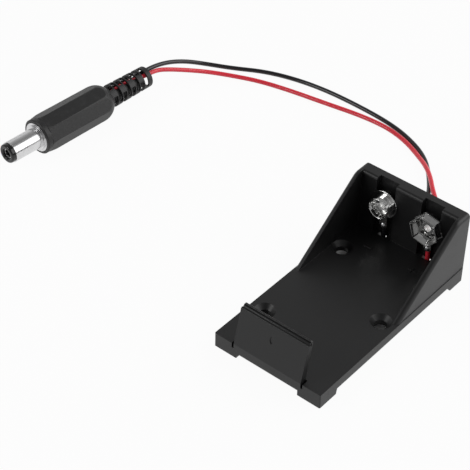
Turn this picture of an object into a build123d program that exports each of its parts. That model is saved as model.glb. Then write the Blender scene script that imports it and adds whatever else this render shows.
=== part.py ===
from build123d import *
from math import atan2, cos, pi, radians, sin, tan
import os

# Nine volt battery holder with two leads and a barrel plug, in millimetres.
# X runs across the tray, the latch is on the -Y side and the terminals on the +Y side.
# The origin is on the table, under the middle of the tray.

# Tray: base plate and battery bay
bay_width = 26.7
bay_length = 49.3
side_wall = 1.3
wall_inset = 0.15
floor_thickness = 2.4
foot_height = 1.5
holder_height = 20.0
corner_round = 0.3
pick_tolerance = 0.05

# Tray: end wall with its pads and terminal channels
end_wall = 1.8
pad_thickness = 1.5
pad_top_round = 0.8
channel_width = 5.4
lead_slot_width = 2.2
lead_slot_length = 1.7
lead_notch_height = 1.5
terminal_pitch = 12.7
terminal_height = 13.75
boss_radius = 2.6
head_recess_radius = 2.7
head_recess_depth = 0.7

# Tray: sloped side walls
wall_flat_top = 4.5
slope_run = 21.9
slope_bend_radius = 3.0
wall_edge_round = 1.0

# Tray: latch tab
latch_width = 18.7
latch_root = 1.8
latch_thickness = 1.55
latch_height = 9.5
latch_lean = 2.2
latch_bead_radius = 0.35
latch_lip_width = 0.55
latch_lip_rise = 0.75
latch_corner_round = 0.7
latch_notch_width = 0.55
latch_notch_depth = 1.3
gate_mark_width = 1.0
gate_mark_height = 2.0
gate_mark_depth = 0.2
gate_mark_drop = 3.4

# Tray: feet and screw holes
foot_width = 6.2
foot_length = 6.1
front_foot_draft = 0.3
back_foot_draft = 1.2
screw_hole_radius = 1.5
countersink_radius = 2.62
countersink_angle = 90
screw_spread = 21.8
screw_pair_spacing = 28.8

# Snap terminals
sheet_thickness = 0.4
stud_flange_radius = 3.64
stud_neck_radius = 2.35
stud_neck_length = 1.3
stud_rim_radius = 2.8
stud_length = 2.8
stud_wall = 0.3
stud_edge_round = 0.13
socket_flange_radius = 4.05
socket_waist_radius = 3.3
socket_waist_height = 1.2
socket_rim_radius = 4.11
socket_length = 2.6
socket_wall = 0.28
socket_turn = 48.7
petal_slit = 0.3

# Solder tags, rivets and solder of the terminals
lug_thickness = 0.3
lug_ring_radius = 2.5
lug_tail_width = 2.0
lug_tail_length = 6.8
eyelet_radius = 1.25
eyelet_bore_radius = 0.95
eyelet_head_radius = 1.7
eyelet_head_thickness = 0.35
eyelet_roll_radius = 2.1
eyelet_roll_thickness = 0.45
eyelet_edge = 0.15
rivet_clearance = 0.05
terminal_solder_radius = 0.95
terminal_solder_setback = 0.3
terminal_solder_rise = 0.1

# Leads
lead_diameter = 1.2
conductor_diameter = 0.55
stripped_length = 2.2
lead_top_height = 6.1
lead_clearance = 0.1
lead_bow = 0.06
lead_turn_gap = 0.05

# Plug, which lies on its handle with its tip towards -Y
plug_front_x = -93.56
plug_front_y = -3.73
plug_heading = 85.65
fit_gap = 0.05

# Plug: barrel, contacts and insulators
barrel_radius = 2.75
barrel_wall = 0.4
barrel_length = 10.0
tip_length = 1.2
tip_setback = 0.2
tip_edge_round = 0.45
tip_spigot_length = 3.0
centre_contact_radius = 1.4
centre_bore_radius = 1.05
centre_recess = 0.6
centre_back = 1.0
centre_tag_width = 1.6
centre_tag_thickness = 0.4
centre_tag_reach = 12.5
rear_disc_thickness = 2.0
collar_radius = 3.9
collar_thickness = 0.5
collar_sunk = 0.4
collar_step_radius = 3.35
collar_step = 0.5
shank_radius = 2.95
shank_length = 6.0

# Plug: the barrel's solder tag with its cord clamp
sleeve_ring_radius = 2.55
sleeve_tag_offset = 2.2
sleeve_tag_thickness = 0.3
sleeve_tag_width = 1.6
sleeve_tag_reach = 17.0
clamp_radius = 2.55
clamp_length = 2.0
clamp_half_angle = 100
plug_solder_radius = 0.7
plug_solder_shift = 0.15

# Plug: handle with its slotted strain relief
lip_radius = 4.7
lip_length = 0.8
lip_edge_round = 0.25
grip_radius = 5.0
grip_start = 1.5
grip_full_at = 3.2
grip_end_radius = 4.92
grip_turn = 48
handle_length = 23.7
shoulder_length = 3.7
cavity_radius = 2.9
cavity_length = 20.4
relief_radius = 3.15
relief_end_radius = 2.88
relief_bore_radius = 2.45
relief_length = 13.9
relief_throat = 1.5
slot_pitch = 3.15
slot_count = 4
slot_width = 1.3
slot_floor = 1.1
first_slot = 0.85

# Places that follow from the sizes
base_width = bay_width + 2 * (side_wall + wall_inset)
base_length = latch_root + bay_length + pad_thickness + end_wall
front_y = -base_length / 2
back_y = base_length / 2
bay_front_y = front_y + latch_root
channel_back_y = back_y - end_wall
pad_face_y = channel_back_y - pad_thickness
floor_top = foot_height + floor_thickness
bay_side_x = bay_width / 2
terminal_x = terminal_pitch / 2
lug_back_y = pad_face_y + lug_thickness
wall_recess_y = back_y - head_recess_depth
rivet_hole_radius = eyelet_radius + rivet_clearance
lead_radius = lead_diameter / 2
conductor_radius = conductor_diameter / 2

# Moulded latch tab: it leans in over the bay, with a bead and a lip along its top
latch_top_y = front_y + latch_lean
latch_top_z = floor_top + latch_height
lip_inner_y = latch_top_y + latch_thickness
lip_outer_y = lip_inner_y - latch_lip_width
lip_top_z = latch_top_z + latch_lip_rise
lip_side_z = lip_top_z - latch_lip_width / 2
bead_inner_y = latch_top_y + 2 * latch_bead_radius
bead_side_z = latch_top_z - latch_bead_radius
latch_lean_angle = atan2(latch_lean, latch_height)

with BuildPart() as latch_tab:
    with BuildSketch(Plane.YZ):
        with BuildLine():
            Polyline((front_y, foot_height), (front_y, floor_top), (latch_top_y, bead_side_z))
            ThreePointArc(
                (latch_top_y, bead_side_z),
                (latch_top_y + latch_bead_radius, latch_top_z),
                (bead_inner_y, bead_side_z),
            )
            ThreePointArc(
                (bead_inner_y, bead_side_z),
                ((bead_inner_y + lip_outer_y) / 2, bead_side_z - latch_bead_radius / 3),
                (lip_outer_y, bead_side_z),
            )
            Line((lip_outer_y, bead_side_z), (lip_outer_y, lip_side_z))
            ThreePointArc(
                (lip_outer_y, lip_side_z),
                (lip_inner_y - latch_lip_width / 2, lip_top_z),
                (lip_inner_y, lip_side_z),
            )
            Polyline(
                (lip_inner_y, lip_side_z),
                (bay_front_y, floor_top),
                (bay_front_y, foot_height),
                (front_y, foot_height),
            )
        make_face()
    extrude(amount=latch_width / 2, both=True)

    # Upper corners rounded, seen from the front
    with BuildSketch(Plane.XZ) as latch_front:
        with Locations((0, (foot_height + lip_top_z) / 2)):
            Rectangle(latch_width, lip_top_z - foot_height)
        fillet(latch_front.vertices().group_by(Axis.Y)[-1], radius=latch_corner_round)
    extrude(amount=base_length / 2, both=True, mode=Mode.INTERSECT)

    # Shallow mark left by the mould's gate in the middle of the outer face
    mark_z = latch_top_z - gate_mark_drop
    mark_y = front_y + (mark_z - floor_top) * tan(latch_lean_angle)
    outward = (0, -cos(latch_lean_angle), sin(latch_lean_angle))
    with BuildSketch(Plane(origin=(0, mark_y, mark_z), x_dir=(1, 0, 0), z_dir=outward)):
        Ellipse(gate_mark_width / 2, gate_mark_height / 2)
    extrude(amount=-gate_mark_depth, mode=Mode.SUBTRACT)

# Sloped side wall: flat beside the terminals and then down to the floor, with a rounded outer top edge
with BuildPart() as side_wall_piece:
    with BuildSketch(Plane.YZ.offset(bay_side_x)) as wall_outline:
        with BuildLine():
            Polyline(
                (back_y - wall_flat_top - slope_run, floor_top),
                (back_y - wall_flat_top, holder_height),
                (back_y, holder_height),
                (back_y, floor_top),
                close=True,
            )
        make_face()
        fillet(wall_outline.vertices().sort_by(Axis.X)[1], radius=slope_bend_radius)
    extrude(amount=side_wall)
    outer_edges = side_wall_piece.faces().sort_by(Axis.X)[-1].edges()
    wall_top_edges = outer_edges.filter_by(
        lambda edge: edge.center().Z > floor_top + pick_tolerance
        and edge.center().Y < back_y - pick_tolerance
    )
    fillet(wall_top_edges, radius=wall_edge_round)

# Moulded tray: base plate, feet, sloped side walls, channelled end wall and the latch tab
with BuildPart() as holder_body:
    with BuildSketch(Plane.XY.offset(foot_height)):
        Rectangle(base_width, base_length)
    extrude(amount=floor_thickness)

    # Feet, flush with the outer sides of the base and drafted on their inner sides
    for side in (-1, 1):
        with BuildSketch(Plane.YZ.offset(side * (base_width - foot_width) / 2)):
            for end_y, draft in ((front_y, front_foot_draft), (back_y, back_foot_draft)):
                inward = -1 if end_y > 0 else 1
                with BuildLine():
                    Polyline(
                        (end_y, foot_height),
                        (end_y + inward * foot_length, foot_height),
                        (end_y + inward * (foot_length - draft), 0),
                        (end_y, 0),
                        close=True,
                    )
                make_face()
        extrude(amount=foot_width / 2, both=True)
    upright_edges = holder_body.edges().filter_by(Axis.Z)
    base_corners = upright_edges.filter_by(
        lambda edge: abs(edge.center().X) > base_width / 2 - pick_tolerance
    )
    fillet(base_corners, radius=corner_round)

    # Side walls, added with their outer top edges already rounded
    add(side_wall_piece.part)
    add(mirror(side_wall_piece.part, about=Plane.YZ))

    # End wall and the three pads in front of it, which leave the two terminal channels
    with BuildSketch(Plane.XY.offset(foot_height)):
        with Locations((0, back_y - end_wall / 2)):
            Rectangle(bay_width, end_wall)
    extrude(amount=holder_height - foot_height)
    middle_pad = terminal_pitch - channel_width
    side_pad = bay_side_x - terminal_x - channel_width / 2
    with BuildSketch(Plane.XY.offset(floor_top)):
        with Locations((0, pad_face_y + pad_thickness / 2)):
            Rectangle(middle_pad, pad_thickness)
        for side in (-1, 1):
            with Locations((side * (bay_side_x - side_pad / 2), pad_face_y + pad_thickness / 2)):
                Rectangle(side_pad, pad_thickness)
    extrude(amount=holder_height - floor_top)
    pad_top_edges = holder_body.edges().filter_by(
        lambda edge: abs(edge.center().Y - pad_face_y) < pick_tolerance
        and abs(edge.center().Z - holder_height) < pick_tolerance
    )
    fillet(pad_top_edges, radius=pad_top_round)

    # Bosses in the channels that carry the solder tags, and the rivet holes through the wall
    channel_face = Plane(origin=(0, channel_back_y, terminal_height), x_dir=(1, 0, 0), z_dir=(0, -1, 0))
    with BuildSketch(channel_face):
        with Locations((-terminal_x, 0), (terminal_x, 0)):
            Circle(boss_radius)
    extrude(amount=channel_back_y - lug_back_y)
    outer_face = Plane(origin=(0, back_y, terminal_height), x_dir=(-1, 0, 0), z_dir=(0, 1, 0))
    with BuildSketch(outer_face):
        with Locations((-terminal_x, 0), (terminal_x, 0)):
            Circle(rivet_hole_radius)
    extrude(amount=-(back_y - lug_back_y), mode=Mode.SUBTRACT)
    with BuildSketch(outer_face):
        with Locations((-terminal_x, 0), (terminal_x, 0)):
            Circle(head_recess_radius)
    extrude(amount=-head_recess_depth, mode=Mode.SUBTRACT)

    # Floor slots under the channels, and notches that let the leads out behind the wall
    with BuildSketch(Plane.XY.offset(floor_top)):
        for x in (-terminal_x, terminal_x):
            with Locations((x, channel_back_y - lead_slot_length / 2)):
                Rectangle(lead_slot_width, lead_slot_length)
    extrude(amount=-floor_thickness, mode=Mode.SUBTRACT)
    with BuildSketch(Plane.XY.offset(foot_height)):
        for x in (-terminal_x, terminal_x):
            with Locations((x, back_y - end_wall / 2)):
                Rectangle(lead_slot_width, end_wall)
    extrude(amount=lead_notch_height, mode=Mode.SUBTRACT)

    # Three countersunk screw holes, staggered: two on the left and one on the right
    with Locations(
        (screw_spread / 2, 0, floor_top),
        (-screw_spread / 2, screw_pair_spacing / 2, floor_top),
        (-screw_spread / 2, -screw_pair_spacing / 2, floor_top),
    ):
        CounterSinkHole(screw_hole_radius, countersink_radius, floor_thickness, countersink_angle)

    # Latch tab, with a relief notch at each side of its root
    add(latch_tab.part)
    with BuildSketch(Plane.XY.offset(floor_top)):
        for side in (-1, 1):
            with Locations((side * (latch_width + latch_notch_width) / 2, front_y + latch_root / 2)):
                Rectangle(latch_notch_width, latch_root)
    extrude(amount=-latch_notch_depth, mode=Mode.SUBTRACT)


# Snap terminals
# Each is drawn from sheet and seated on the pads; its section is drawn as radius and height

def terminal_section(x):
    """The plane of a terminal's half section: radius along X, height out from the pads."""
    return Plane(origin=(x, pad_face_y, terminal_height), x_dir=(1, 0, 0), z_dir=(0, 0, -1))


def terminal_axis(x):
    """The terminal's own axis, pointing out over the bay."""
    return Axis((x, pad_face_y, terminal_height), (0, -1, 0))


# Round stud: flange, neck and a cup with a flared rim
with BuildPart() as stud_contact:
    with BuildSketch(terminal_section(-terminal_x)) as stud_outline:
        with BuildLine():
            Polyline(
                (rivet_hole_radius, 0),
                (stud_flange_radius, 0),
                (stud_flange_radius, sheet_thickness),
                (stud_neck_radius, sheet_thickness),
                (stud_neck_radius, stud_neck_length),
                (stud_rim_radius, stud_length),
                (stud_rim_radius - stud_wall, stud_length),
                (stud_neck_radius - stud_wall, stud_neck_length),
                (stud_neck_radius - stud_wall, sheet_thickness),
                (rivet_hole_radius, sheet_thickness),
                close=True,
            )
        make_face()
        outer_corners = stud_outline.vertices().filter_by(
            lambda corner: corner.X > rivet_hole_radius + pick_tolerance
        )
        fillet(outer_corners, radius=stud_edge_round)
    revolve(axis=terminal_axis(-terminal_x))

# Hexagonal socket: flange, six leaves that close to a waist and flare to the rim
socket_face = Plane(origin=(terminal_x, pad_face_y, terminal_height), x_dir=(1, 0, 0), z_dir=(0, -1, 0))
socket_levels = (
    (sheet_thickness, socket_flange_radius - socket_wall),
    (socket_waist_height, socket_waist_radius),
    (socket_length, socket_rim_radius),
)
corner_wall = socket_wall / cos(radians(30))

with BuildPart() as socket_contact:
    with BuildSketch(socket_face):
        RegularPolygon(socket_flange_radius, 6, rotation=socket_turn)
    extrude(amount=sheet_thickness)
    for (low, low_radius), (high, high_radius) in zip(socket_levels, socket_levels[1:]):
        for inset, mode in ((0, Mode.ADD), (corner_wall, Mode.SUBTRACT)):
            with BuildSketch(socket_face.offset(low)):
                RegularPolygon(low_radius - inset, 6, rotation=socket_turn)
            with BuildSketch(socket_face.offset(high)):
                RegularPolygon(high_radius - inset, 6, rotation=socket_turn)
            loft(ruled=True, mode=mode)
    with BuildSketch(socket_face.offset(socket_waist_height)):
        with PolarLocations(socket_rim_radius, 6, start_angle=socket_turn):
            Rectangle(socket_rim_radius, petal_slit)
    extrude(amount=socket_length, mode=Mode.SUBTRACT)
    with BuildSketch(socket_face):
        Circle(rivet_hole_radius)
    extrude(amount=sheet_thickness, mode=Mode.SUBTRACT)

# Solder tags, clamped between the terminals and the bosses
lug_back = Plane(origin=(-terminal_x, lug_back_y, terminal_height), x_dir=(1, 0, 0), z_dir=(0, -1, 0))

with BuildPart() as stud_lug:
    with BuildSketch(lug_back):
        Circle(lug_ring_radius)
        Rectangle(lug_tail_width, lug_tail_length, align=(Align.CENTER, Align.MAX))
        Circle(rivet_hole_radius, mode=Mode.SUBTRACT)
    extrude(amount=lug_thickness)

with BuildPart() as socket_lug:
    add(stud_lug.part.moved(Location((terminal_pitch, 0, 0))))

# Tubular rivets: a head inside the terminal and a rolled end in the recess behind the wall
roll_depth = wall_recess_y - pad_face_y

with BuildPart() as stud_eyelet:
    with BuildSketch(terminal_section(-terminal_x)):
        with BuildLine():
            Polyline(
                (eyelet_bore_radius, sheet_thickness + eyelet_head_thickness),
                (eyelet_head_radius - eyelet_edge, sheet_thickness + eyelet_head_thickness),
                (eyelet_head_radius, sheet_thickness + eyelet_head_thickness - eyelet_edge),
                (eyelet_head_radius, sheet_thickness),
                (eyelet_radius, sheet_thickness),
                (eyelet_radius, -roll_depth),
                (eyelet_roll_radius, -roll_depth),
                (eyelet_roll_radius, -roll_depth - eyelet_roll_thickness + eyelet_edge),
                (eyelet_roll_radius - eyelet_edge, -roll_depth - eyelet_roll_thickness),
                (eyelet_bore_radius, -roll_depth - eyelet_roll_thickness),
                close=True,
            )
        make_face()
    revolve(axis=terminal_axis(-terminal_x))

with BuildPart() as socket_eyelet:
    add(stud_eyelet.part.moved(Location((terminal_pitch, 0, 0))))


# Leads
# Each comes down its channel, turns out under the wall, crosses the table and rises to the plug

def plug_point(along, across=0, up=0):
    """A place in the plug: distance ahead of the handle's front, to its +X side, and above its axis."""
    heading = radians(plug_heading)
    return Vector(
        plug_front_x - along * cos(heading) + across * sin(heading),
        plug_front_y - along * sin(heading) - across * cos(heading),
        grip_radius + up,
    )


def bend_radii(route):
    """The radius of each bend: as large as its two runs allow."""
    runs = [Vector(end) - Vector(start) for start, end in zip(route, route[1:])]
    radii = []
    for before, after in zip(runs, runs[1:]):
        shorter = min(before.length, after.length)
        radii.append(0.45 * shorter / tan(radians(before.get_angle(after)) / 2))
    return radii


lead_top_y = channel_back_y - lead_clearance - lead_radius
under_wall_y = channel_back_y - lead_turn_gap

red_route = [
    (terminal_x, lead_top_y, lead_top_height),
    (terminal_x, lead_top_y, 4.5),
    (terminal_x, lead_top_y + lead_bow, 2.7),
    (terminal_x, under_wall_y, lead_radius),
    (terminal_x - 0.1, 28.4, lead_radius),
    (4.1, 32.6, lead_radius),
    (0.9, 38.3, 0.75),
    (-3.4, 43.8, 1.5),
    (-7.9, 47.8, 2.0),
    (-11.5, 51.9, 2.0),
    (-15.0, 55.0, 1.7),
    (-19.2, 57.95, 0.85),
    (-25.4, 61.2, lead_radius),
    (-32.5, 62.9, lead_radius),
    (-41.0, 62.5, lead_radius),
    (-51.0, 60.7, lead_radius),
    (-61.6, 59.0, lead_radius),
    (-70.6, 56.9, lead_radius),
    (-77.5, 53.3, 1.1),
    (-82.2, 49.2, 2.3),
    (-85.6, 44.0, 4.05),
    (-87.9, 39.9, 5.35),
    plug_point(-40.8, 0.95, 1.00),
    plug_point(-36.2, 0.80, 1.12),
    plug_point(-29.5, -0.05, 1.45),
    plug_point(-22.5, 0.35, 1.05),
    plug_point(-17.5, 0.66, 0.60),
    plug_point(-14.0, 0.62, 0.25),
]
black_route = [
    (-terminal_x, lead_top_y, lead_top_height),
    (-terminal_x, lead_top_y, 4.5),
    (-terminal_x, lead_top_y + lead_bow, 2.7),
    (-terminal_x, under_wall_y, lead_radius),
    (-terminal_x - 0.05, 28.4, lead_radius),
    (-6.6, 33.2, lead_radius),
    (-6.3, 39.9, lead_radius),
    (-8.05, 46.5, lead_radius),
    (-12.7, 53.45, lead_radius),
    (-18.4, 59.4, lead_radius),
    (-26.6, 63.2, lead_radius),
    (-34.5, 64.9, lead_radius),
    (-44.5, 65.5, lead_radius),
    (-54.5, 65.4, lead_radius),
    (-63.5, 64.1, lead_radius),
    (-72.0, 61.2, 0.75),
    (-79.4, 56.0, 1.2),
    (-84.5, 52.2, 2.1),
    (-88.1, 47.6, 3.85),
    (-90.0, 42.5, 5.45),
    plug_point(-41.2, -0.36, 1.42),
    plug_point(-36.4, -0.42, 1.50),
    plug_point(-29.5, -1.25, 0.65),
    plug_point(-22.5, -0.95, 0.85),
    plug_point(-17.5, -1.20, 0.60),
    plug_point(-14.0, -1.45, 0.25),
]

with BuildPart() as red_lead:
    with BuildLine() as red_path:
        FilletPolyline(*red_route, radius=bend_radii(red_route))
    with BuildSketch(Plane(origin=red_path.line @ 0, z_dir=red_path.line % 0)):
        Circle(lead_radius)
    sweep()

with BuildPart() as black_lead:
    with BuildLine() as black_path:
        FilletPolyline(*black_route, radius=bend_radii(black_route))
    with BuildSketch(Plane(origin=black_path.line @ 0, z_dir=black_path.line % 0)):
        Circle(lead_radius)
    sweep()

for name, lead, path, route in (
    ("red", red_lead, red_path, red_route),
    ("black", black_lead, black_path, black_route),
):
    length = sum(edge.length for edge in path.edges())
    tube_volume = pi * lead_radius ** 2 * length
    print(name, "lead length", round(length, 1), "volume over section times length",
          round(lead.part.volume / tube_volume, 4))
    print(name, "lead radii", [round(radius, 1) for radius in bend_radii(route)])


def end_faces(path):
    """Planes on the two cut ends of a lead, facing away from it."""
    line = path.line
    return Plane(origin=line @ 0, z_dir=-(line % 0)), Plane(origin=line @ 1, z_dir=line % 1)


# Stripped conductors at both ends of each lead
with BuildPart() as red_wire_ends:
    for end_face in end_faces(red_path):
        with BuildSketch(end_face):
            Circle(conductor_radius)
        extrude(amount=stripped_length)

with BuildPart() as black_wire_ends:
    for end_face in end_faces(black_path):
        with BuildSketch(end_face):
            Circle(conductor_radius)
        extrude(amount=stripped_length)

# Solder beads on the ends of the tags
lug_tail_z = terminal_height - lug_tail_length
solder_place = Vector(0, lead_top_y - terminal_solder_setback, lug_tail_z + terminal_solder_rise)

with BuildPart() as stud_solder:
    with Locations(solder_place - (terminal_x, 0, 0)):
        Sphere(terminal_solder_radius)
    for neighbour in (stud_lug, black_wire_ends, black_lead):
        add(neighbour.part, mode=Mode.SUBTRACT)

with BuildPart() as socket_solder:
    with Locations(solder_place + (terminal_x, 0, 0)):
        Sphere(terminal_solder_radius)
    for neighbour in (socket_lug, red_wire_ends, red_lead):
        add(neighbour.part, mode=Mode.SUBTRACT)


# Plug
# Half sections are drawn as radius and distance ahead of the handle's front
plug_ahead = Vector(-cos(radians(plug_heading)), -sin(radians(plug_heading)), 0)
plug_side = Vector(sin(radians(plug_heading)), -cos(radians(plug_heading)), 0)
plug_section = Plane(origin=plug_point(0), x_dir=(0, 0, 1), z_dir=plug_side)
plug_face = Plane(origin=plug_point(0), x_dir=plug_side, z_dir=plug_ahead)
plug_axis = Axis(plug_point(0), plug_ahead)
barrel_bore_radius = barrel_radius - barrel_wall
barrel_front = barrel_length - tip_length
collar_front = collar_thickness - collar_sunk
step_front = collar_front + collar_step
shank_back = -collar_sunk - shank_length

# Barrel: a turned sleeve with a stepped collar and a shank that fits the handle
with BuildPart() as plug_sleeve:
    with BuildSketch(plug_section):
        with BuildLine():
            Polyline(
                (barrel_bore_radius, barrel_front),
                (barrel_radius, barrel_front),
                (barrel_radius, step_front),
                (collar_step_radius, step_front),
                (collar_step_radius, collar_front),
                (collar_radius, collar_front),
                (collar_radius, -collar_sunk),
                (shank_radius, -collar_sunk),
                (shank_radius, shank_back),
                (barrel_bore_radius, shank_back),
                close=True,
            )
        make_face()
    revolve(axis=plug_axis)

# Insulating ring at the tip, with a spigot inside the barrel
tip_radius = barrel_radius - tip_setback
with BuildPart() as plug_tip_insulator:
    with BuildSketch(plug_section) as tip_outline:
        with BuildLine():
            Polyline(
                (centre_contact_radius, barrel_length),
                (tip_radius, barrel_length),
                (tip_radius, barrel_front),
                (barrel_bore_radius, barrel_front),
                (barrel_bore_radius, barrel_front - tip_spigot_length),
                (centre_contact_radius, barrel_front - tip_spigot_length),
                close=True,
            )
        make_face()
        fillet(tip_outline.vertices().group_by(Axis.Y)[-1], radius=tip_edge_round)
    revolve(axis=plug_axis)

# Centre contact: a tube with a closed back and a flat tag for its lead
centre_front = barrel_length - centre_recess
with BuildPart() as plug_centre_contact:
    with BuildSketch(plug_section):
        with BuildLine():
            Polyline(
                (centre_bore_radius, centre_front),
                (centre_contact_radius, centre_front),
                (centre_contact_radius, -centre_back),
                (0, -centre_back),
                (0, -centre_back + centre_tag_thickness),
                (centre_bore_radius, -centre_back + centre_tag_thickness),
                close=True,
            )
        make_face()
    revolve(axis=plug_axis)
    with BuildSketch(plug_face.offset(-centre_back)):
        Rectangle(centre_tag_thickness, centre_tag_width)
    extrude(amount=centre_back - centre_tag_reach)

# Disc that holds the centre contact in the back of the barrel
with BuildPart() as plug_rear_insulator:
    with BuildSketch(plug_face.offset(-centre_back)):
        Circle(barrel_bore_radius)
        Circle(centre_contact_radius, mode=Mode.SUBTRACT)
    extrude(amount=rear_disc_thickness)

# Barrel's solder tag: a ring on the shank, a strip along the handle and a cord clamp
with BuildPart() as plug_sleeve_lug:
    with BuildSketch(plug_face.offset(shank_back)):
        Circle(sleeve_ring_radius)
        Circle(barrel_bore_radius, mode=Mode.SUBTRACT)
    extrude(amount=-sleeve_tag_thickness)
    with BuildSketch(plug_face.offset(shank_back)):
        with Locations((-sleeve_tag_offset - sleeve_tag_thickness / 2, 0)):
            Rectangle(sleeve_tag_thickness, sleeve_tag_width)
    extrude(amount=-(sleeve_tag_reach + shank_back))
    with BuildSketch(plug_face.offset(clamp_length - sleeve_tag_reach)):
        with BuildLine():
            middle_radius = clamp_radius - sleeve_tag_thickness / 2
            CenterArc((0, 0), middle_radius, 180 - clamp_half_angle, 2 * clamp_half_angle)
        trace(line_width=sleeve_tag_thickness)
    extrude(amount=-clamp_length)


def solder_centre(path):
    """The middle of a lead's stripped end in the plug, moved towards the tag beside it."""
    return path.line @ 1 + (path.line % 1) * (stripped_length / 2) - plug_side * plug_solder_shift


# Solder joints of the two leads in the plug
with BuildPart() as plug_solder_centre:
    with Locations(solder_centre(red_path)):
        Sphere(plug_solder_radius)
    for neighbour in (plug_centre_contact, red_wire_ends, red_lead):
        add(neighbour.part, mode=Mode.SUBTRACT)

with BuildPart() as plug_solder_sleeve:
    with Locations(solder_centre(black_path)):
        Sphere(plug_solder_radius)
    for neighbour in (plug_sleeve_lug, black_wire_ends, black_lead):
        add(neighbour.part, mode=Mode.SUBTRACT)

# Handle: round lip, eight-sided grip with rounded shoulders, and the slotted strain relief
total_length = handle_length + relief_length

with BuildPart() as plug_handle:
    with BuildSketch(plug_face):
        Circle(lip_radius)
    extrude(amount=-grip_start)
    with BuildSketch(plug_face.offset(-grip_start)):
        RegularPolygon(grip_radius, 8, rotation=grip_turn)
    extrude(amount=grip_start - handle_length)
    with BuildSketch(plug_section):
        with BuildLine():
            Polyline(
                (relief_radius, -handle_length),
                (0, -handle_length),
                (0, 0),
                (lip_radius - lip_edge_round, 0),
                (lip_radius, -lip_edge_round),
                (lip_radius, -lip_length),
                (grip_radius, -grip_full_at),
                (grip_end_radius, shoulder_length - handle_length),
            )
            TangentArc(
                (grip_end_radius, shoulder_length - handle_length),
                (relief_radius, -handle_length),
                tangent=(0, -1),
            )
        make_face()
    revolve(axis=plug_axis, mode=Mode.INTERSECT)
    with BuildSketch(plug_section):
        with BuildLine():
            Polyline(
                (0, -handle_length),
                (relief_radius, -handle_length),
                (relief_end_radius, -total_length),
                (0, -total_length),
                close=True,
            )
        make_face()
    revolve(axis=plug_axis)

    # Stepped bore for collar, shank, solder joints and leads
    with BuildSketch(plug_section):
        with BuildLine():
            Polyline(
                (0, 0),
                (collar_radius + fit_gap, 0),
                (collar_radius + fit_gap, -collar_sunk),
                (shank_radius + fit_gap, -collar_sunk),
                (shank_radius + fit_gap, shank_back - sleeve_tag_thickness),
                (cavity_radius, shank_back - sleeve_tag_thickness),
                (cavity_radius, -cavity_length),
                (relief_bore_radius, -cavity_length - relief_throat),
                (relief_bore_radius, -total_length),
                (0, -total_length),
                close=True,
            )
        make_face()
    revolve(axis=plug_axis, mode=Mode.SUBTRACT)

    # Slots in opposite pairs; every second pair is turned a quarter and set between the others
    for slot_turn, stagger in ((grip_turn + 90, 0), (grip_turn, slot_pitch / 2)):
        for index in range(slot_count):
            slot_back = handle_length + first_slot + stagger + index * slot_pitch - slot_width / 2
            with BuildSketch(plug_face.offset(-slot_back)):
                with PolarLocations(slot_floor + relief_radius / 2, 2, start_angle=slot_turn):
                    Rectangle(relief_radius, 2 * relief_radius)
            extrude(amount=-slot_width, mode=Mode.SUBTRACT)

pieces = {
    "holder_body": holder_body,
    "stud_contact": stud_contact,
    "socket_contact": socket_contact,
    "stud_lug": stud_lug,
    "socket_lug": socket_lug,
    "stud_eyelet": stud_eyelet,
    "socket_eyelet": socket_eyelet,
    "stud_solder": stud_solder,
    "socket_solder": socket_solder,
    "black_lead": black_lead,
    "red_lead": red_lead,
    "black_wire_ends": black_wire_ends,
    "red_wire_ends": red_wire_ends,
    "plug_sleeve": plug_sleeve,
    "plug_tip_insulator": plug_tip_insulator,
    "plug_centre_contact": plug_centre_contact,
    "plug_rear_insulator": plug_rear_insulator,
    "plug_sleeve_lug": plug_sleeve_lug,
    "plug_solder_centre": plug_solder_centre,
    "plug_solder_sleeve": plug_solder_sleeve,
    "plug_handle": plug_handle,
}
os.makedirs("parts", exist_ok=True)
for label, piece in pieces.items():
    piece.part.label = label
    export_step(piece.part, f"parts/{label}.step")
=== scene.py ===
"""Nine volt battery holder with two leads and a barrel plug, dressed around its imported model.

Metres throughout, in the model's own frame: X across the tray, the terminals on the +Y side.
"""

from math import cos, radians, sin

import bmesh
import bpy
from mathutils import Matrix, Quaternion, Vector


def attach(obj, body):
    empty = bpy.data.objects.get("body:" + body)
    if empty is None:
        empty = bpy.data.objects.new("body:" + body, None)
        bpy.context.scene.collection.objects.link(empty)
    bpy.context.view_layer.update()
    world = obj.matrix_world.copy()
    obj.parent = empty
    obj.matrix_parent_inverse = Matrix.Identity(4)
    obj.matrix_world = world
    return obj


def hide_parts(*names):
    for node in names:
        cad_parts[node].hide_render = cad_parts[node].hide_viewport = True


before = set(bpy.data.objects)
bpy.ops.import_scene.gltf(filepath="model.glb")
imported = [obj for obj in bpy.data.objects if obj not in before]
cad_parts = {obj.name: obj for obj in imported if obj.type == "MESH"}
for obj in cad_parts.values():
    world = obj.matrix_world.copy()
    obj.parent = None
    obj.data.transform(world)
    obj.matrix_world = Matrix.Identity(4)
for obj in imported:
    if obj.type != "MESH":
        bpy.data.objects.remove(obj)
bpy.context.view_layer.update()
scene = bpy.context.scene
mm = 0.001

# Camera
# A long lens looks down on the holder over its right front corner, and takes in the
# plug at the far end of its leads. The table and the lamps come last.
camera_place = Vector((155.51, -231.95, 262.69)) * mm
camera_aim = Vector((-35.45, 4.67, 0)) * mm
camera_roll = radians(1.44)
sensor_width = 36
lens_length = 128.15

camera_data = bpy.data.cameras.new("camera")
camera_data.sensor_width = sensor_width
camera_data.lens = lens_length
camera_data.clip_start = 0.01
camera_data.clip_end = 10
camera = bpy.data.objects.new("camera", camera_data)
scene.collection.objects.link(camera)
camera.location = camera_place
camera.rotation_mode = "QUATERNION"
level_turn = (camera_aim - camera_place).to_track_quat("-Z", "Y")
camera.rotation_quaternion = level_turn @ Quaternion((0, 0, 1), camera_roll)
scene.camera = camera
scene.view_settings.view_transform = "Standard"

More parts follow.
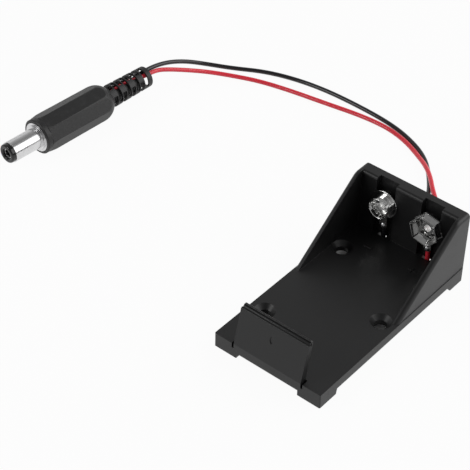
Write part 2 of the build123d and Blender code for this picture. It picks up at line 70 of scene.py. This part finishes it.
# Tray
# One moulding in black plastic, eroded to a fine satin grain by its mould. The roll along
# the top of its latch tab is moulded with it, and so are two raised polarity marks.


class Amount:
    """A number that changes over a surface, used in sums like any other number."""

    def __init__(self, tree, socket):
        self.tree = tree
        self.socket = socket

    def sum_with(self, operation, first, second):
        return self.tree.node("ShaderNodeMath", {"operation": operation}, {0: first, 1: second})

    def __add__(self, other):
        return self.sum_with("ADD", self, other)

    def __rsub__(self, other):
        return self.sum_with("SUBTRACT", other, self)

    def __mul__(self, other):
        return self.sum_with("MULTIPLY", self, other)

    __radd__ = __add__
    __rmul__ = __mul__


class Nodes:
    """A node tree, built with one method for every kind of node."""

    def __init__(self, tree):
        self.nodes = tree.nodes
        self.links = tree.links

    def node(self, kind, settings=None, values=None, output=0):
        """Adds a node: its settings first, then the values or links of its sockets."""
        made = self.nodes.new(kind)
        for name, setting in (settings or {}).items():
            if name == "stops":
                ramp = made.color_ramp.elements
                for stop, (position, shade) in zip(ramp, (setting[0], setting[-1])):
                    stop.color = (shade, shade, shade, 1)
                for position, shade in setting[1:-1]:
                    ramp.new(position).color = (shade, shade, shade, 1)
            else:
                setattr(made, name, setting)
        for name, value in (values or {}).items():
            self.join(made.inputs[name], value)
        return Amount(self, made.outputs[output])

    def join(self, socket, value):
        """Links a socket to an amount, or sets it to a plain value."""
        if isinstance(value, Amount):
            self.links.new(value.socket, socket)
        else:
            socket.default_value = value

    def step(self, amount, low, high):
        """0 where an amount is under low, 1 where it is over high, and smooth between."""
        return self.node(
            "ShaderNodeMapRange",
            {"interpolation_type": "SMOOTHSTEP"},
            {"Value": amount, "From Min": low, "From Max": high},
        )


class Finish(Nodes):
    """A surface finish: one material with its shader and the patterns that feed it."""

    def __init__(self, name, **shader_values):
        self.material = bpy.data.materials.new(name)
        self.material.use_nodes = True
        super().__init__(self.material.node_tree)
        self.shader = self.nodes["Principled BSDF"]
        self.place = self.node("ShaderNodeTexCoord", output="Object")
        self.set(**shader_values)

    def set(self, **shader_values):
        """Sets the shader's sockets, written with _ for the spaces in their names."""
        for name, value in shader_values.items():
            self.join(self.shader.inputs[name.replace("_", " ")], value)

    def noise(self, size, detail=2.0, roughness=0.5, stretch=(1, 1, 1)):
        """Cloudy noise with features of that size, stretched along the axes."""
        where = self.node(
            "ShaderNodeMapping",
            {"vector_type": "TEXTURE"},
            {"Vector": self.place, "Scale": stretch},
        )
        return self.node(
            "ShaderNodeTexNoise",
            {"noise_dimensions": "3D"},
            {"Vector": where, "Scale": 1 / size, "Detail": detail, "Roughness": roughness},
        )

    def mix(self, share, first, second):
        """Mixes two colours by a share from 0 to 1."""
        return self.node(
            "ShaderNodeMix", {"data_type": "RGBA"}, {0: share, 6: (*first, 1), 7: (*second, 1)}, output=2
        )

    def along(self, direction, place=None):
        """How far a place lies along a direction, from the origin."""
        values = {0: place or self.place, 1: direction}
        return self.node("ShaderNodeVectorMath", {"operation": "DOT_PRODUCT"}, values, output="Value")

    def wave(self, amount, pitch):
        """A regular wave from 0 to 1 that repeats at that pitch."""
        turns = amount * (radians(360) / pitch)
        return self.node("ShaderNodeMath", {"operation": "SINE"}, {0: turns}) * 0.5 + 0.5

    def relief(self, height, depth, edge=0):
        """Bumps the surface by a height from 0 to 1 of that depth, over softened edges."""
        values = {"Height": height, "Distance": depth, "Strength": 1.0}
        if edge:
            values["Normal"] = self.node("ShaderNodeBevel", {"samples": 8}, {"Radius": edge})
        self.set(Normal=self.node("ShaderNodeBump", None, values))


def dress(finish, *names):
    """Gives CAD nodes their finish."""
    for name in names:
        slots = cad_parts[name].data.materials
        slots.clear()
        slots.append(finish.material)


def add_piece(name, bm, finish):
    """Makes a piece from a finished bmesh. It stays with the holder."""
    mesh = bpy.data.meshes.new(name)
    bm.to_mesh(mesh)
    bm.free()
    mesh.materials.append(finish.material)
    piece = bpy.data.objects.new(name, mesh)
    scene.collection.objects.link(piece)
    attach(piece, "root")


tray_plastic = Finish("tray_plastic", IOR=1.48)
flow = tray_plastic.step(tray_plastic.noise(9 * mm, detail=3, stretch=(1, 2.5, 1)), 0.35, 0.7)
grain = tray_plastic.noise(0.16 * mm, detail=3, roughness=0.6)
rub = tray_plastic.step(tray_plastic.noise(1.3 * mm, detail=5, roughness=0.7), 0.56, 0.72)
tray_plastic.set(
    Base_Color=tray_plastic.mix(flow * 0.6 + rub * 0.4, (0.008, 0.008, 0.0083), (0.012, 0.012, 0.0125)),
    Roughness=0.36 + flow * 0.05 + rub * 0.06 + grain * 0.06,
)
tray_plastic.relief(grain * 0.7 + flow * 0.3, 0.01 * mm, edge=0.1 * mm)
dress(tray_plastic, "holder_body")

roll_radius = 0.4 * mm
roll_length = 18.4 * mm
roll_end_round = 0.2 * mm
roll_facets = 20
roll_place = Vector((0, -24.17, 13.38)) * mm
floor_top = 3.9 * mm
terminal_x = 6.35 * mm
mark_y = 18.4 * mm
mark_length = 2.2 * mm
mark_width = 0.35 * mm
mark_height = 0.12 * mm
mark_sunk = 0.03 * mm
mark_edge = 0.05 * mm

bm = bmesh.new()
bmesh.ops.create_cone(
    bm, cap_ends=True, segments=roll_facets, radius1=roll_radius, radius2=roll_radius, depth=roll_length
)
rims = [edge for edge in bm.edges if edge.verts[0].co.z * edge.verts[1].co.z > 0]
bmesh.ops.bevel(
    bm, geom=rims, offset=roll_end_round, segments=3, affect="EDGES", profile=0.5, material=-1
)
across_tray = Matrix.Rotation(radians(90), 3, "Y")
bmesh.ops.rotate(bm, verts=bm.verts, cent=(0, 0, 0), matrix=across_tray)
bmesh.ops.translate(bm, verts=bm.verts, vec=roll_place)
for face in bm.faces:
    face.smooth = len(face.verts) == 4
add_piece("latch_roll", bm, tray_plastic)

for name, x, crossed in (("minus_mark", -terminal_x, False), ("plus_mark", terminal_x, True)):
    bm = bmesh.new()
    for size in [(mark_length, mark_width)] + [(mark_width, mark_length)] * crossed:
        made = bmesh.ops.create_cube(bm, size=1)
        bmesh.ops.scale(bm, vec=(*size, mark_height + mark_sunk), verts=made["verts"])
    top_edges = [edge for edge in bm.edges if all(vertex.co.z > 0 for vertex in edge.verts)]
    bmesh.ops.bevel(
        bm, geom=top_edges, offset=mark_edge, segments=2, affect="EDGES", profile=0.5, material=-1
    )
    mark_middle = (x, mark_y, floor_top + (mark_height - mark_sunk) / 2)
    bmesh.ops.translate(bm, vec=mark_middle, verts=bm.verts)
    add_piece(name, bm, tray_plastic)

# Snap terminals
# Drawn from thin brass sheet and bright nickel plated: a round stud with a flared rim
# and a hexagonal socket whose leaves spring apart.
nickel_plate = Finish("nickel_plate", Metallic=1.0)
cloud = nickel_plate.noise(0.8 * mm, detail=4, roughness=0.6)
streak = nickel_plate.noise(0.09 * mm, detail=2, stretch=(1, 9, 1))
clouded = nickel_plate.step(cloud, 0.35, 0.75)
nickel_plate.set(
    Base_Color=nickel_plate.mix(clouded, (0.82, 0.82, 0.815), (0.7, 0.7, 0.69)),
    Roughness=0.07 + nickel_plate.step(cloud, 0.4, 0.8) * 0.06,
)
nickel_plate.relief(cloud * 0.9 + streak * 0.1, 0.003 * mm, edge=0.1 * mm)
dress(nickel_plate, "stud_contact", "socket_contact", "stud_eyelet", "socket_eyelet")

# Solder tags and their solder
# Flat brass tags with a dull tin coat, each with its lead's tinned strands soldered on.
tinned_brass = Finish("tinned_brass", Metallic=1.0)
bloom = tinned_brass.noise(0.5 * mm, detail=4, roughness=0.65)
dulled = tinned_brass.step(bloom, 0.4, 0.7)
tinned_brass.set(
    Base_Color=tinned_brass.mix(dulled, (0.6, 0.6, 0.58), (0.45, 0.44, 0.41)),
    Roughness=0.3 + bloom * 0.15,
)
tinned_brass.relief(bloom, 0.015 * mm, edge=0.05 * mm)
dress(tinned_brass, "stud_lug", "socket_lug", "plug_sleeve_lug")

solder = Finish("solder", Metallic=1.0)
pool = solder.noise(0.45 * mm, detail=2)
solder.set(
    Base_Color=solder.mix(solder.step(pool, 0.4, 0.7), (0.66, 0.66, 0.67), (0.5, 0.5, 0.51)),
    Roughness=0.16 + pool * 0.16,
)
solder.relief(pool, 0.08 * mm)
dress(solder, "stud_solder", "socket_solder", "plug_solder_centre", "plug_solder_sleeve")

tinned_copper = Finish("tinned_copper", Metallic=1.0, Roughness=0.28)
strands = tinned_copper.wave(tinned_copper.along((1, 1, 0.6)), 0.14 * mm)
tinned_copper.set(Base_Color=tinned_copper.mix(strands, (0.55, 0.46, 0.38), (0.74, 0.68, 0.62)))
tinned_copper.relief(strands, 0.04 * mm)
dress(tinned_copper, "red_wire_ends", "black_wire_ends")

# Plug barrel
# A turned brass barrel with a stepped collar, nickel plated over fine tool rings, around a
# sprung centre tube. Smooth black plastic rings hold the two apart at both ends.
plug_front = Vector((-93.56, -3.73, 5.0))
plug_heading = radians(85.65)
plug_ahead = Vector((-cos(plug_heading), -sin(plug_heading), 0))
plug_side = Vector((sin(plug_heading), -cos(plug_heading), 0))


def plug_point(along, across, up):
    """A place in the plug: ahead of the handle's front, to its +X side and above its axis."""
    return plug_front + plug_ahead * along + plug_side * across + Vector((0, 0, up))


barrel_nickel = Finish("barrel_nickel", Metallic=1.0)
ring_place = barrel_nickel.along(plug_ahead)
tool_rings = barrel_nickel.wave(ring_place, 0.11 * mm)
haze = barrel_nickel.noise(1.2 * mm, detail=4, roughness=0.6)
hazy = barrel_nickel.step(haze, 0.4, 0.75)
barrel_nickel.set(
    Base_Color=barrel_nickel.mix(hazy, (0.72, 0.72, 0.725), (0.65, 0.65, 0.655)),
    Roughness=0.19 + barrel_nickel.step(haze, 0.4, 0.8) * 0.07,
)
barrel_nickel.relief(tool_rings * 0.3 + haze * 0.7, 0.0005 * mm, edge=0.08 * mm)
dress(barrel_nickel, "plug_sleeve", "plug_centre_contact")

tip_plastic = Finish("tip_plastic", IOR=1.5)
scuff = tip_plastic.step(tip_plastic.noise(0.7 * mm, detail=4, roughness=0.65), 0.5, 0.75)
tip_plastic.set(
    Base_Color=tip_plastic.mix(scuff, (0.006, 0.006, 0.006), (0.014, 0.014, 0.0145)),
    Roughness=0.12 + scuff * 0.1,
)
tip_plastic.relief(scuff, 0.006 * mm, edge=0.08 * mm)
dress(tip_plastic, "plug_tip_insulator", "plug_rear_insulator")

# Plug handle
# A matte black shell, round at its lip and faceted along the grip, moulded in one with
# the slotted strain relief around the leads.
handle_plastic = Finish("handle_plastic", IOR=1.48)
handle_grain = handle_plastic.noise(0.2 * mm, detail=3, roughness=0.65)
wear = handle_plastic.step(handle_plastic.noise(2.2 * mm, detail=5, roughness=0.65), 0.5, 0.75)
handle_plastic.set(
    Base_Color=handle_plastic.mix(wear, (0.017, 0.017, 0.0175), (0.026, 0.026, 0.0265)),
    Roughness=0.4 + wear * 0.08 + handle_grain * 0.08,
)
handle_plastic.relief(handle_grain, 0.016 * mm, edge=0.14 * mm)
dress(handle_plastic, "plug_handle")

# Shade sleeve in the strain relief
# A thin split tube of black plastic around the two leads inside the strain relief. It is painted
# shade: a dark sheet that makes the dark ground behind the relief's slots.
sleeve_radius = 2.22 * mm
sleeve_wall = 0.2 * mm
sleeve_start = -21.0
sleeve_end = -33.6
sleeve_slit_from = radians(102)
sleeve_turn = radians(322)
sleeve_steps = 44

bm = bmesh.new()
corners = [
    bm.verts.new(plug_point(along, 0, 0) * mm + plug_side * reach)
    for along, reach in (
        (sleeve_start, sleeve_radius),
        (sleeve_end, sleeve_radius),
        (sleeve_end, sleeve_radius - sleeve_wall),
        (sleeve_start, sleeve_radius - sleeve_wall),
    )
]
wall = bm.faces.new(corners)
to_slit = Matrix.Rotation(-sleeve_slit_from, 3, -plug_ahead)
bmesh.ops.rotate(bm, verts=bm.verts, cent=plug_front * mm, matrix=to_slit)
bmesh.ops.spin(
    bm,
    geom=[wall, *wall.edges, *wall.verts],
    cent=plug_front * mm,
    axis=-plug_ahead,
    angle=-sleeve_turn,
    steps=sleeve_steps,
    use_merge=False,
)
bmesh.ops.recalc_face_normals(bm, faces=bm.faces)
# painted shade: the dark sleeve that darkens the relief's slots
add_piece("relief_shade_sleeve", bm, handle_plastic)

# Leads
# Two tinned copper leads in glossy soft plastic, one red and one black. Each comes down its
# channel from a solder tag, turns out under the end wall and lies over the table to the plug.
lead_diameter = 1.2 * mm
lead_steps = 8
lead_facets = 6
red_route = [
    (6.35, 24.7, 6.1),
    (6.35, 24.7, 4.5),
    (6.35, 24.76, 2.7),
    (6.35, 25.35, 0.6),
    (6.25, 28.4, 0.6),
    (4.1, 32.6, 0.6),
    (0.9, 38.3, 0.75),
    (-3.4, 43.8, 1.5),
    (-7.9, 47.8, 2.0),
    (-11.5, 51.9, 2.0),
    (-15.0, 55.0, 1.7),
    (-19.2, 57.95, 0.85),
    (-25.4, 61.2, 0.6),
    (-32.5, 62.9, 0.6),
    (-41.0, 62.5, 0.6),
    (-51.0, 60.7, 0.6),
    (-61.6, 59.0, 0.6),
    (-70.6, 56.9, 0.6),
    (-77.5, 53.3, 1.1),
    (-82.2, 49.2, 2.3),
    (-85.6, 44.0, 4.05),
    (-87.9, 39.9, 5.35),
    plug_point(-40.8, 0.95, 1.0),
    plug_point(-36.2, 0.8, 1.12),
    plug_point(-29.5, -0.05, 1.45),
    plug_point(-22.5, 0.35, 1.05),
    plug_point(-17.5, 0.66, 0.6),
    plug_point(-14.0, 0.62, 0.25),
]
black_route = [
    (-6.35, 24.7, 6.1),
    (-6.35, 24.7, 4.5),
    (-6.35, 24.76, 2.7),
    (-6.35, 25.35, 0.6),
    (-6.4, 28.4, 0.6),
    (-6.6, 33.2, 0.6),
    (-6.3, 39.9, 0.6),
    (-8.05, 46.5, 0.6),
    (-12.7, 53.45, 0.6),
    (-18.4, 59.4, 0.6),
    (-26.6, 63.2, 0.6),
    (-34.5, 64.9, 0.6),
    (-44.5, 65.5, 0.6),
    (-54.5, 65.4, 0.6),
    (-63.5, 64.1, 0.6),
    (-72.0, 61.2, 0.75),
    (-79.4, 56.0, 1.2),
    (-84.5, 52.2, 2.1),
    (-88.1, 47.6, 3.85),
    (-90.0, 42.5, 5.45),
    plug_point(-41.2, -0.36, 1.42),
    plug_point(-36.4, -0.42, 1.5),
    plug_point(-33.0, -0.9, 0.3),
    plug_point(-29.0, 0.5, -0.8),
    plug_point(-23.0, 0.8, -0.65),
    plug_point(-17.5, -0.6, -0.9),
    plug_point(-14.0, -1.45, 0.25),
]


def lead(name, route, finish):
    """Lays one lead along its route, as a smooth round cord with closed ends."""
    curve = bpy.data.curves.new(name, "CURVE")
    curve.dimensions = "3D"
    spline = curve.splines.new("NURBS")
    spline.points.add(len(route) - 1)
    for point, place in zip(spline.points, route):
        point.co = (*(Vector(place) * mm), 1)
    spline.order_u = 3
    spline.use_endpoint_u = True
    spline.resolution_u = lead_steps
    spline.use_smooth = True
    curve.bevel_depth = lead_diameter / 2
    curve.bevel_resolution = lead_facets
    curve.use_fill_caps = True
    curve.materials.append(finish.material)
    piece = bpy.data.objects.new(name, curve)
    scene.collection.objects.link(piece)
    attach(piece, "root")
    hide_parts(name.replace("cord", "lead"))


def insulation(name, colour, dusty_colour):
    """Glossy soft plastic, with slow swells from the extruder and a trace of handling."""
    finish = Finish(name, IOR=1.5, Coat_Weight=0.15, Coat_Roughness=0.08)
    swell = finish.noise(2.5 * mm, detail=1)
    smear = finish.step(finish.noise(0.9 * mm, detail=3, roughness=0.6), 0.5, 0.75)
    finish.set(
        Base_Color=finish.mix(smear * 0.35, colour, dusty_colour),
        Roughness=0.13 + smear * 0.1,
    )
    finish.relief(swell * 0.9 + finish.noise(0.12 * mm) * 0.1, 0.006 * mm)
    return finish


red_insulation = insulation("red_insulation", (0.9, 0.036, 0.062), (0.92, 0.095, 0.13))
black_insulation = insulation("black_insulation", (0.012, 0.012, 0.014), (0.04, 0.04, 0.044))

lead(
    "red_cord",
    red_route,
    red_insulation,
)
lead(
    "black_cord",
    black_route,
    black_insulation,
)

# Table and light
# A white table and backdrop, dimmer overhead and in front, with a large soft lamp behind the
# tray's right side and a small one at the front left. The table doesn't glow under the tray.
table_half = 2.0
table_drop = 0.02 * mm
table_glow = 0.95
backdrop_glow = 1.0
shade_middle = (0, 0.4 * mm, 0)
shade_side = (13.7 * mm, 14.2 * mm)
shade_end = (26.2 * mm, 26.6 * mm)
front_edge = (-40 * mm, -20 * mm)
front_mirrored = 0.65
back_mirrored = 0.85
sky_stops = [(0.0, 0.3), (0.07, 0.3), (0.12, 0.8), (0.3, 0.75), (0.63, 0.54), (0.83, 0.28), (1.0, 0.18)]
sky_front = (-0.5, -0.2)
sky_front_share = 0.45

bm = bmesh.new()
bmesh.ops.create_grid(bm, x_segments=1, y_segments=1, size=table_half)
bmesh.ops.translate(bm, vec=(0, 0, -table_drop), verts=bm.verts)
table_mesh = bpy.data.meshes.new("table")
bm.to_mesh(table_mesh)
bm.free()
table = bpy.data.objects.new("table", table_mesh)
scene.collection.objects.link(table)

table_white = Finish("table_white", Base_Color=(0.8, 0.8, 0.8, 1), Roughness=0.9, Specular_IOR_Level=0.0)
seen = table_white.node("ShaderNodeLightPath", output="Is Camera Ray")
mirrored = table_white.node("ShaderNodeLightPath", output="Is Glossy Ray")
passed = table_white.node("ShaderNodeLightPath", output="Is Transmission Ray")
glow = table_white.node("ShaderNodeEmission", None, {"Color": (1, 1, 1, 1), "Strength": 1.0})
from_shade = table_white.node(
    "ShaderNodeVectorMath", {"operation": "SUBTRACT"}, {0: table_white.place, 1: shade_middle}
)
past_shade = table_white.node("ShaderNodeVectorMath", {"operation": "ABSOLUTE"}, {0: from_shade})
past_side = table_white.step(table_white.along((1, 0, 0), past_shade), *shade_side)
past_end = table_white.step(table_white.along((0, 1, 0), past_shade), *shade_end)
open_table = table_white.step(past_side + past_end, 0.0, 1.0)
behind_front = table_white.step(table_white.along((0, 1, 0)), *front_edge)
mirror_glow = front_mirrored + behind_front * (back_mirrored - front_mirrored)
shown = table_white.node(
    "ShaderNodeMixShader",
    None,
    {0: open_table * (seen * table_glow + (mirrored + passed) * mirror_glow), 2: glow},
)
table_white.links.new(table_white.shader.outputs["BSDF"], shown.socket.node.inputs[1])
table_white.join(table_white.nodes["Material Output"].inputs["Surface"], shown)
table_mesh.materials.append(table_white.material)

world = bpy.data.worlds.new("studio")
world.use_nodes = True
scene.world = world
sky = Nodes(world.node_tree)
direction = sky.node("ShaderNodeTexCoord", output="Generated")
height = sky.node("ShaderNodeSeparateXYZ", None, {"Vector": direction}, output="Z")
towards_back = sky.node("ShaderNodeSeparateXYZ", None, {"Vector": direction}, output="Y")
dimming = sky.node("ShaderNodeValToRGB", {"stops": sky_stops}, {"Fac": height})
front_dimming = sky_front_share + sky.step(towards_back, *sky_front) * (1 - sky_front_share)
seen = sky.node("ShaderNodeLightPath", output="Is Camera Ray")
brightness = seen * backdrop_glow + (1 - seen) * dimming * front_dimming
sky.join(sky.nodes["Background"].inputs["Color"], (1, 1, 1, 1))
sky.join(sky.nodes["Background"].inputs["Strength"], brightness)

for name, place, width, power in (
    ("side_lamp", (0.236, 0.275, 0.26), 0.42, 0.9),
    ("front_lamp", (-0.21, -0.26, 0.22), 0.16, 0.32),
):
    lamp_data = bpy.data.lights.new(name, "AREA")
    lamp_data.shape = "SQUARE"
    lamp_data.size = width
    lamp_data.energy = power
    lamp = bpy.data.objects.new(name, lamp_data)
    lamp.location = place
    lamp.rotation_mode = "QUATERNION"
    lamp.rotation_quaternion = (camera_aim - Vector(place)).to_track_quat("-Z", "Y")
    scene.collection.objects.link(lamp)
